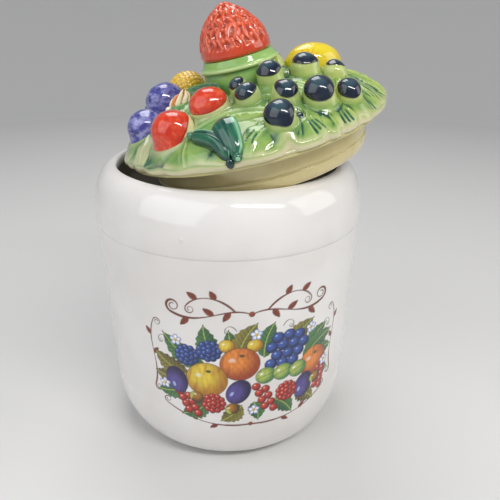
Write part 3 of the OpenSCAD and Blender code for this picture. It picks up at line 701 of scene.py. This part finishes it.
def all_fruit():
    for kind, group, looks in (
        ("berry", BERRIES, BERRY_LOOKS + BACK_LOOKS), ("cherry", CHERRIES, CHERRY_LOOKS), ("plum", PLUMS, PLUM_LOOKS),
        ("lemon", [LEMON], [LEMON_LOOK]), ("golden", [GOLDEN], [GOLDEN_LOOK]), ("bud", [BUD], [BUD_LOOK]),
    ):
        for (way, share, lift, half, *rest), (east, north, up, size, *cap) in zip(group, looks):
            r, turn, dip = rest or (half, 0, 0)
            x, y = polar(way, share)
            z = dome(share * SKIRT_R) + lift
            yield Fruit(x + east, y + north, z + up, half * size, r * size, turn, dip, kind, *(cap or (None, None)))


FRUIT = list(all_fruit())


def of_kind(kind):
    return [f for f in FRUIT if f.kind == kind]


def relief(x, y):
    """Height of the mound with its leaves and the clay round its fruit, and what is painted there."""
    r = hypot(x, y)
    base = dome(r)
    rim = 1 - 0.8 * smooth(r, SKIRT_R - 6.5, SKIRT_R - 0.5)
    low = 0.4 * waves(x, y, 0, 19, 21) + 0.12 * waves(x, y, 0, 7, 22)
    z = base + low * rim
    at = {k: zeros(x.shape) for k in ("teal", "light", "cream", "shade_and_pool")}
    for number, (b_way, b_share, t_way, t_share, half, crown, rib, *more) in enumerate(LEAVES):
        lean, kind = (more + [0, ""][len(more):])[:2]
        bx, by, tx, ty = *polar(b_way, b_share), *polar(t_way, t_share)
        reach = hypot(tx - bx, ty - by) + half
        k = np.nonzero((abs(x - (bx + tx) / 2) < reach) & (abs(y - (by + ty) / 2) < reach))
        u, w, length = from_to(x[k], y[k], bx, by, tx, ty)
        w -= (0.1 if number % 2 else -0.1) * length * sin(pi * clip(u, 0, 1))
        u0 = (u + 0.2) / 1.25
        c = clip(u0, 0, 1)
        outline = sin(pi * c ** 0.85) ** 0.6 * (1 + 0.06 * sin(c * 17 + number))
        e = abs(w) / (half * (1 + lean * sign(w)) * outline + 1e-3)
        inside = smooth(e, 1.04, 0.93) * smooth(u0, 0, 0.1) * smooth(u0, 1, 0.97)
        line = bell(w, 0.55) * smooth(u0, 0.02, 0.2) * smooth(u0, 0.98, 0.88)
        veins = clip(sin((u * length - abs(w) * 0.7) * 2 * pi / 5.5 + number), 0, 1) ** 4 * smooth(abs(w), 0.6, 2)
        height = crown * (0.35 + 0.65 * sqrt(clip(1 - e ** 2, 0, 1))) + 0.25 * sin(e * 4 + number)
        height += rib * line - 0.5 * rib * bell(abs(w) - 1.5, 0.8) + 0.13 * veins
        if kind == "t":
            height += 0.35 * sin(w * 2 * pi / 2.4 + 2 * u)
        h = base[k] + (low[k] * 0.4 + height * inside) * rim[k]
        win = smooth(h - z[k], -0.1, 0.2) * (inside > 0.02)
        z[k] = maximum(z[k], h)
        # ribs, veins and leaf edges get a painted highlight, partly the glaze thinning there
        light = clip(0.5 * line + 0.1 * veins + 0.3 * smooth(e, 0.55, 0.95), 0, 1)
        for key, value in (("teal", (kind == "t") * 0.9 * (1 - 0.5 * line) * inside),
                           ("cream", (kind == "c") * 0.7 * inside), ("light", (0.25 if kind == "t" else 1) * light)):
            at[key][k] += (value - at[key][k]) * win
    for a_way, a_share, b_way, b_share, count, apart, wide in STROKES:
        u, w, _ = from_to(x, y, *polar(a_way, a_share), *polar(b_way, b_share))
        w += 0.9 * sin(u * 2.4)
        for i in range(count):
            off = (i - (count - 1) / 2) * apart * (0.75 + 0.5 * clip(u, 0, 1))
            start, end = 0.12 * (i * 7 % 3), 1 - 0.06 * (i % 2)
            mark = smooth(abs(w - off), 0.62 * wide, 0.25 * wide)
            mark *= smooth(u, start, start + 0.14) * smooth(u, end, 0.86)
            at["teal"] = maximum(at["teal"], mark)
            z -= 0.3 * mark * rim
    # spots of painted shade, partly pooled glaze
    for way, share, size, strength in SHADES_AND_POOLS:
        px, py = polar(way, share)
        at["shade_and_pool"] = maximum(at["shade_and_pool"], strength * bell(hypot(x - px, y - py), size))
    mottle = 0.65 + 0.35 * waves(x, y, 0, 9, 77)
    for f in FRUIT:
        column = f.kind in COLUMNS
        pooled_shade, tint = COLUMNS.get(f.kind, (0.75, 0))
        level, swell = cos(radians(f.dip)), 1.1 if column else 1
        u, w = along(x, y, f.x, f.y, radians(f.turn))
        e = hypot(u / ((f.half * level + f.r * (1 - level)) * swell), w / (f.r * swell))
        out = (e - 1) * f.r
        rise = 0.4 * (f.z - base) if column else f.z - 0.5 * f.r - base
        lump = base + maximum(rise, 0) * clip(1 - clip(out, 0, COLUMN_SPREAD) / COLUMN_SPREAD, 0, 1) ** 1.8
        z = where(out < COLUMN_SPREAD, maximum(z, lump), z)
        z = where(e < 0.95, minimum(z, f.z - 0.3 * f.r), z)
        near = smooth(COLUMN_SPREAD - out, 0, 3.5)
        at["teal"] *= 1 - near * 0.85
        at["light"] *= 1 - near * 0.85
        at["cream"] += near * (tint * smooth(2.5 - out, 0, 3) - at["cream"])
        # a ring of painted shade, partly pooled glaze, round each column's foot
        at["shade_and_pool"] = maximum(at["shade_and_pool"], pooled_shade * mottle * smooth(out, -1.5, 0.5) * smooth(out, 5.5, 1))
    return z, at


def make_relief(material):
    around, across, lip_steps = 1180, 136, 8
    ways = linspace(0, 360, around, endpoint=False)
    a, edge, inner = radians(ways)[None, :], skirt_edge(ways)[None, :], COLLAR_R + GAP
    r = inner + (edge - inner) * linspace(0, 1, across)[:, None]
    x, y = r * cos(a), r * sin(a)
    z, at = relief(x, y)

    def blur(h, rounds, turn, step):
        """Averages over neighbours round the lid and across it."""
        for _ in range(rounds):
            h = (h + np.roll(h, turn, 1) + np.roll(h, -turn, 1) + vstack([h[step:], h[-step:]])
                 + vstack([h[:step], h[:-step]])) / 5
        return h

    # hollow places get painted shade, partly the darker glaze that collects there
    close = blur(z, 9, 2, 1)
    wide = blur(close, 12, 4, 3)
    valley = clip(smooth(close - z, 0.04, 0.5) * 0.55 + smooth(wide - z, 0.35, 2.8) * 0.8, 0, 1)
    valley = clip(valley + at["shade_and_pool"], 0, 1) * (1 - 0.9 * smooth(r, edge - 4, edge - 0.8))
    # crests get more painted highlight, partly the glaze thinning on them
    light = clip(at["light"] + 0.35 * smooth(z - close, 0.1, 0.5), 0, 1)
    # the rolled lower edge of the leaves, then back under to the flange and over the shell
    hang = SKIRT_HANG + REST_LEAF_DROP * smooth(turn_between(ways, REST_LEAF_WAY), REST_LEAF_SPREAD, 3)[None, :]
    wavy = 0.5 + 0.5 * sin(radians(ways * 19)) * sin(radians(ways * 7 + 40))
    steps = linspace(0, 1, lip_steps + 1)[1:, None]
    t = radians(linspace(0, 90, 12))[1:, None]
    over = 1 / cos(radians(45 / 7))    # clears the shell's dome, which the solid has in facets
    flat = 0 * edge
    R = vstack([
        r, edge + sin(steps * pi) * 0.55 - 0.35 * steps, edge - 0.6, flat + FLANGE_R + GAP, flat + FLANGE_R + GAP,
        flat + DOME_R + 1, flat + inner + (DOME_R + GAP - inner) * over * cos(t),
    ])
    Z = vstack([
        z, z[-1:] * (1 - steps) + (-hang + 0.5 * wavy) * steps, -hang, -hang, flat + GAP,
        flat + GAP, flat + maximum(GAP, (SHELL_RISE + GAP) * over * sin(t)),
    ])
    v, faces = skin(stack([R * cos(a), R * sin(a), Z], -1), wrap=True, ends=False)
    below = len(R) - across
    lip = ones((below, around))
    lip[:lip_steps] = smooth(linspace(0, 1, lip_steps), -0.3, 0.6)[:, None]
    brim = smooth(r, edge - 3.2, edge + 0.6) * (0.6 + 0.3 * waves(x, y, 0, 14, 78))
    none, hue = zeros((below, around)), hue_at(x, y)
    piece("leaf_relief", "leaf_mound", material, v, faces, {k: vstack(pair).ravel() for k, pair in {
        "teal": (at["teal"], none), "light": (light, none), "valley": (valley * (1 - 0.35 * at["cream"]), none),
        "cream": (clip(maximum(at["cream"], brim), 0, 1), lip), "hue": (hue, hue[-1:] + none),
    }.items()})


# ---------------------------------------------------------------- lid: fruit
def ball(around, up):
    """Unit ball with its poles on z."""
    a = circle(around)[None, :]
    b = linspace(-pi / 2, pi / 2, up + 2)[1:-1, None]
    return stack([cos(b) * cos(a), cos(b) * sin(a), sin(b) + 0 * a], -1)


def lump_fruit(f, seed, cream, blunt, edge):
    """The upper half of a fruit on a column of the same clay that runs down into the mound."""
    fall, rise, around = 22, 34, 120
    a, turn = circle(around)[None, :], radians(f.turn)
    t = concatenate([linspace(1, 0, fall, endpoint=False), zeros(rise)])[:, None]
    b = concatenate([zeros(fall), linspace(0, pi / 2, rise + 1)[:-1]])[:, None]
    k = cos(b) * (1 + 0.05 * t + 0.16 * t ** 3) * (1 + blunt * cos(a))
    px, py = along(f.half * k * cos(a), f.r * k * sin(a), 0, 0, -turn)
    px, py = px + f.x, py + f.y
    foot = dome(hypot(px, py)) - 1.6
    pz = f.z + f.r * sin(b) + (minimum(foot, f.z - 1) - f.z) * t
    beta = b - radians(58) * t
    d = stack([cos(beta) * cos(a + turn), cos(beta) * sin(a + turn), sin(beta) + 0 * a], -1)
    # a brushed cap of paint about an axis, with a soft wavering edge
    away = np.degrees(np.arccos(clip(d @ unit(array(f.axis)), -1, 1))) + 4 * waves(*np.moveaxis(d, -1, 0), 1.6, seed, 4)
    cap = smooth(away, f.angle + 1.6, f.angle - 1.6)
    bulge = 0.22 * waves(px, py, pz, 13, seed + 500) + 0.3 * cap
    # low darkens each column toward its foot with painted shade
    return solid(stack([px, py, pz], -1) + d * bulge[..., None], {
        "paint": cap, "mark": bell(away - f.angle, edge) * cap, "hue": hue_at(px, py),
        "cream": cream * smooth(t, 0.75, 0.1) + 0 * a, "low": smooth(t, 0.2, 0.85) + 0 * a,
        "sheen": smooth(away, f.angle * 0.75, f.angle * 0.2) * smooth(d[..., 2], 0.1, 0.9)}, True)


def make_lumps(name, kind, node, material, cream=0, blunt=0, edge=8):
    parts = [lump_fruit(f, 40 + 7 * i, cream, blunt, edge) for i, f in enumerate(of_kind(kind))]
    piece(name, node, material, *join(parts))


def make_round(name, kind, node, material, around, up, shape_of):
    """A whole fruit, painted all over, turned about its middle and cut off under its seat."""
    f, = of_kind(kind)
    turn, d = rot("z", f.turn) @ rot("y", 90 + f.dip), ball(around, up)
    shape, mark = shape_of(f, d, d @ turn.T)
    rows = shape @ turn.T
    rows[..., 2] = maximum(rows[..., 2], -f.r * 0.7)
    piece(name, node, material, *solid(rows + (f.x, f.y, f.z), {"paint": ones(mark.shape), "mark": mark}, True))


def lemon_shape(f, d, world):
    """A nipple at each end, fine pores, and a fan of orange streaks on the front."""
    t = d[..., 2]
    shape = d * (f.r, f.r, f.half)
    pores = smooth(waves(*np.moveaxis(shape, -1, 0), 2.4, 5, 9), 0.2, 1)
    shape[..., 2] += sign(t) * 1.6 * exp(-(1 - abs(t)) / 0.035)
    east, up = world[..., 0] + 0.1, world[..., 2] - 0.35
    streak = smooth(sin(12 * arctan2(east, up)), 0.35, 0.9) * (world[..., 1] < -0.1)
    streak *= smooth(hypot(east, up), 0.55, 0.25)
    return shape - d * (0.24 + 0.12 * pores)[..., None], 0.75 * streak


def golden_shape(f, d, _):
    """Rows of drupelets with a pit between each four."""
    rows = 11
    lat = (np.arcsin(d[..., 2]) / pi + 0.5) * rows
    row = floor(lat)
    count = maximum(4, np.round(24 * cos((row + 0.5) / rows * pi - pi / 2)))
    lon = (arctan2(d[..., 1], d[..., 0]) / (2 * pi) + 0.5) * count + 0.5 * (row % 2)
    du, dv = (lon - floor(lon) - 0.5) * 2, (lat - row - 0.5) * 2
    knob = clip(1 - (du ** 2 + dv ** 2) * 0.75, 0, 1) ** 0.6
    return d * (f.r, f.r, f.half) - d * (0.5 * (1 - knob) + 0.1)[..., None], 0.9 * (1 - knob)


def make_bud(material):
    """Flame-shaped petals, each a path of (right, up) as the picture shows it, a half width, a depth and its paint."""
    f, = of_kind("bud")
    a, q = circle(36)[None, :], linspace(0, 1, 40)
    parts = []
    for path, half, depth, paint in (
        ([(-5.4, -8.4), (-5.6, -3.4), (-4.2, -0.4), (-2.6, 1.6)], 1.2, 0.4, "bare"),
        ([(-3.9, -8.6), (-4.1, -3.6), (-2.7, 0.8), (-0.2, 3.4)], 1.6, -0.2, "full"),
        ([(-2.2, -8.6), (-1.4, -3), (0.2, 1.4), (2.2, 6.4)], 2.1, -1, "edges"),
        ([(-0.3, -8.2), (2.2, -2.4), (4.2, 2.2), (3.9, 6)], 2, -0.2, "edges"),
        ([(2.4, -8), (4.9, -1.6), (5.8, 2.6), (4.9, 5)], 1.5, 0.9, "edges"),
        ([(-2, -8.4), (-0.4, -1), (1.4, 4)], 3.2, 2.4, "full"),
        ([(-7.4, -8.2), (-7.2, -6), (-6.6, -4.4)], 1.9, -0.6, "bare"),
    ):
        # the lid's tilt is taken off, so that the petals stand in the picture as drawn
        right, up = along(*resample(path, len(q), 12).T, 0, 0, radians(LID_TILT))
        way_r, way_u = unit(stack([np.gradient(right), np.gradient(up)], -1)).T[..., None]
        w = (half * (0.72 + 0.28 * sin(pi * q)) * sqrt(clip(1 - q ** 3.2, 0.012, 1)))[:, None]
        side, fold = w * cos(a), 0.62 * w * sin(a) * (1 - 0.3 * cos(a) ** 2)
        rows = stack([f.x + right[:, None] + way_u * side, f.y + depth + fold, f.z + up[:, None] - way_r * side], -1)
        across = abs(cos(a)) + 0 * side
        streak = smooth(waves(rows[..., 0], rows[..., 1], rows[..., 2] * 0.4, 3.2, 8), -1.2, -0.3)
        cover = {"full": smooth(across, 0.97, 0.82), "edges": smooth(across, 0.6, 0.78) * streak, "bare": 0}[paint]
        dark = smooth(across, 0.95, 0.995) * 0.5
        parts.append(solid(rows, {"paint": maximum(0.95 * cover, dark), "mark": dark, "cream": ones(across.shape)}))
    piece("blossom_bud_striped", "blossom_bud", material, *join(parts))


def proud_leaf(spine, start, end, tall, rim_at, groove_at):
    """A leaf of x, y, height and half width, arched over its middle, whose foot, in painted shade, reaches down into
    the mound.
    """
    path = resample(spine, 80, 24)
    tangent = unit(np.gradient(path[:, :3], axis=0))
    side = unit(np.cross(np.c_[path[:, :2] * 0.012, ones(len(path))], tangent))
    up = np.cross(tangent, side)
    q, v = linspace(0, 1, len(path))[:, None], linspace(-1, 1, 45)[None, :]
    h = path[:, 3:] * sqrt(clip(1 - clip(1 - q / start, 0, 1) ** 2, 0.03, 1)
                           * clip(1 - clip(1 - (1 - q) / end, 0, 1) ** 2, 0.05, 1))
    groove, ripple = bell(v - groove_at, 0.16), sin(v * h * 2.2 + q * 6)
    off = tall * h * (1 - abs(v) ** 2.3) + 0.55 * bell(v - rim_at, 0.11) * minimum(1, h / 3)
    off += 0.05 * ripple - 0.75 * groove * minimum(1, h / 4)
    spread = path[:, None, :3]
    top = spread + side[:, None, :] * (v * h)[..., None] + up[:, None, :] * off[..., None]
    foot = top[:, ::-1][:, 4:-4].copy()
    foot[..., :2] += (spread - foot[..., :3])[..., :2] * 0.1
    foot[..., 2] = minimum(foot[..., 2] - 1.2, dome(hypot(foot[..., 0], foot[..., 1])) - 0.8)
    # a painted highlight along the rim; painted shade in the groove, down the middle and along one edge
    light = 0.95 * bell(v - rim_at, 0.13) + 0.12 * ripple.clip(0)
    valley = 0.75 * groove + 0.35 * smooth(abs(v - 0.1), 0.6, 0) + smooth(-v, 0.86, 1) * 0.6 + 0 * q
    below = ones(foot.shape[:2])
    return solid(np.hstack([top, foot]), {"light": np.hstack([light, 0 * below]),
                                          "valley": np.hstack([clip(valley, 0, 1), below])})


def make_curled_leaves(material):
    """A hood-shaped leaf and a narrow rolled one that meet at a curled tip on the skirt's edge."""
    parts = [
        proud_leaf([(-17, -61.8, 14.5, 5), (-16.7, -64.5, 17.6, 7), (-16.4, -67.4, 19.2, 8.2),
                    (-16, -70.5, 19.4, 8.4), (-14.6, -75, 17, 7.9), (-12.8, -79.8, 13.2, 6.2),
                    (-12, -83.4, 8.8, 4.6), (-13.2, -85.6, 4.2, 3.2)], 0.4, 0.2, 0.45, 0.84, -1.6),
        proud_leaf([(-35.2, -64, 16.4, 2.2), (-32.4, -66.8, 17.2, 3), (-28.5, -69.8, 17, 3.7),
                    (-24.4, -73.2, 16, 4), (-20.6, -77, 14, 4.2), (-18, -81, 10.6, 4.2),
                    (-16.8, -84.4, 5.8, 3.2)], 0.16, 0.2, 0.55, 0.8, 0.38),
    ]
    # rolled knots of clay at the tips: place, size, painted highlight, painted shade
    d = ball(48, 28)
    for place, size, light, dark in (
        ((-16.4, -85.8, 2.2), (2.4, 1.8, 3), 0, 1), ((-12, -86, 4.6), (2.7, 2.2, 2.7), 0.1, 0.45),
        ((-11.8, -87.6, 4.3), (1.35, 1.2, 1.35), 0.9, 0), ((-35.2, -64.4, 16.8), (2.3, 2.4, 2.5), 0.25, 0.2),
    ):
        shades = {"light": full(d.shape[:2], light), "valley": full(d.shape[:2], dark)}
        parts.append(solid(d * size + place, shades, True))
    piece("curled_leaves_proud", "curled_leaves", material, *join(parts))


make_crock(white_glaze())
make_shell(plain_glaze("cream_glaze", 0.5, (
    "d8cd9c", ((26, 4, 0.3, 0.7), "c8b984"), ("tint", "b2b068"), ((700, 2, 0.66, 0.76), "8a7a55", 0.4)), 0.06, 220))
make_relief(relief_glaze())
# the collar's light is a painted highlight, its valley painted shade
make_collar(plain_glaze("collar_green_glaze", 0.5, (
    "98c06a", ((40, 4, 0.3, 0.7), "7fae5e"), ("light", "c9dc9a"), ("valley", "3b7345"))))
# ridge: painted highlight; pit: partly pooled glaze, partly painted shade
make_strawberry(plain_glaze("strawberry_red_glaze", 0.8, (
    "dd4b24", ((70, 4, 0.3, 0.7), "c93c1a"), ("ridge", "f0905e", 0.6), ("pit", "8c2412", 0.75),
    ((240, 3, 0.6, 0.75), "e8b04a", 0.35)), 0.05, 300, (0.06, 0.15)))
make_lumps("blueberries_painted", "berry", "blueberries", painted_glaze(
    "blueberry_navy_glaze", ("0b1430", "14303c", "060a18"), "070c1a", 90, sheen="3f5c66"), 0.3)
make_lumps("cherries_painted", "cherry", "cherries", painted_glaze(
    "cherry_red_glaze", ("d83a1e", "c02a12", "e4603a"), "a82010", 130, (1, 2.5, 1), 0.8), 1, 0.05)
make_lumps("plums_painted", "plum", "plums", painted_glaze(
    "plum_blue_glaze", ("3f4194", "9292c8", "1c2258"), "12164a", 130, (1, 1, 2.2), 1), 0.9, 0.03, 17)
make_round("lemon_painted", "lemon", "lemon", painted_glaze(
    "lemon_yellow_glaze", ("e7cf2a", "dcb920"), "d2702a", 50), 140, 90, lemon_shape)
make_round("golden_fruit_pitted", "golden", "golden_fruit", painted_glaze(
    "golden_yellow_glaze", ("f2cd4a", "e8bc3a"), "cb9a2c", 60), 200, 120, golden_shape)
make_bud(painted_glaze("bud_cream_glaze", ("e0862a", "d9701e"), "1d5a50", 60, bare="f0e8c8"))
# the dark leaves' light is a painted highlight, their valley painted shade
make_curled_leaves(plain_glaze("dark_leaf_glaze", 0.6, (
    "0f4a44", ((90, 5, 0.35, 0.65), "1f6b4d"), ("light", "86bf94"), ("valley", "06302f"))))


# ---------------------------------------------------------------- stage, light and camera
def stage_material(name, unseen=False):
    """Plain pale matt; a backdrop so made is only seen, and keeps no light from the object."""
    g = Nodes(name)
    g.set(g.p, {"Base Color": lin("d6d5d3"), "Roughness": 0.6})
    if unseen:
        seen = g.add("Math", 0, {0: g.add("LightPath", "Is Camera Ray", {}),
                                 1: g.add("LightPath", "Is Glossy Ray", {})},
                     operation="ADD", use_clamp=True)
        mixed = g.add("MixShader", 0, {0: seen, 1: g.add("BsdfTransparent", 0, {}), 2: g.p.outputs[0]})
        g.set(g.t.nodes["Material Output"], {"Surface": mixed})
    return g.m


def stage_ring(name, radii, heights, material):
    """A round stage, the same from every side."""
    a = circle(128)
    rows = array([np.c_[r * cos(a), r * sin(a), full(len(a), h)] for r, h in zip(radii, heights)])
    ob = new_object(name, *skin(rows, ends=False), material)


FLOOR_R, BEND_R, WALL_TOP = 1.2, 0.7, 4
bend = linspace(0, pi / 2, 15)
stage_ring("floor", [0.0005, 0.4, FLOOR_R], [0, 0, 0], stage_material("pale_floor"))
stage_ring("backdrop", [*(FLOOR_R + BEND_R * sin(bend)), FLOOR_R + BEND_R], [*(BEND_R * (1 - cos(bend))), WALL_TOP],
           stage_material("pale_backdrop", True))

world = bpy.data.worlds.new("studio")
world.use_nodes = True
world.node_tree.nodes["Background"].inputs["Color"].default_value = (0.93, 0.95, 1, 1)
world.node_tree.nodes["Background"].inputs["Strength"].default_value = 0.34
bpy.context.scene.world = world

AIM = (0, 0, 0.15)
# lamps: place, width, length, power, colour, and the turn about their own beam
for name, place, width, length, power, colour, spin in (
    ("strip", (0.34, -0.62, 0.86), 0.09, 0.62, 4.6, (1, 0.99, 0.97), 62),
    ("left", (-0.85, -0.7, 0.85), 1.3, 1.3, 7.2, (0.97, 0.98, 1), 0),
    ("right", (1.1, -0.2, 0.7), 0.8, 0.8, 3.4, (1, 1, 0.97), 0),
    ("top", (-0.1, 0.45, 1.2), 0.6, 0.6, 5, (1, 1, 1), 0),
):
    data = bpy.data.lights.new(name, "AREA")
    data.shape, data.size, data.size_y, data.energy, data.color = "RECTANGLE", width, length, power, colour
    ob = bpy.data.objects.new(name, data)
    ob.location, ob.rotation_mode = place, "QUATERNION"
    facing = Vector(array(place) - AIM).to_track_quat("Z", "Y")
    ob.rotation_quaternion = facing @ Quaternion((0, 0, 1), radians(spin))
    bpy.context.scene.collection.objects.link(ob)

# camera fitted to the crock's outline in the picture; it looks at no more than the aim's height
DIST, ELEV, YAW, PITCH, ROLL, AIM_Z = 0.4357578, 0.4385971, 0.0377799, -0.0320582, 0.0046143, 0.11
pos = array([0, -DIST * cos(ELEV), AIM_Z + DIST * sin(ELEV)])
forward = array([sin(YAW) * cos(ELEV + PITCH), cos(YAW) * cos(ELEV + PITCH), -sin(ELEV + PITCH)])
right = unit(np.cross(forward, [0, 0, 1]))
up = np.cross(right, forward)
right, up = cos(ROLL) * right + sin(ROLL) * up, -sin(ROLL) * right + cos(ROLL) * up
data = bpy.data.cameras.new("camera")
data.lens, data.sensor_width, data.sensor_fit = 43.2, 36, "HORIZONTAL"
data.clip_start, data.clip_end = 0.01, 20
camera = bpy.data.objects.new("camera", data)
camera.matrix_world = Matrix([[*axes] for axes in zip(right, up, -forward, pos)] + [[0, 0, 0, 1]])
bpy.context.scene.collection.objects.link(camera)
bpy.context.scene.camera = camera
bpy.context.scene.view_settings.view_transform = "Standard"
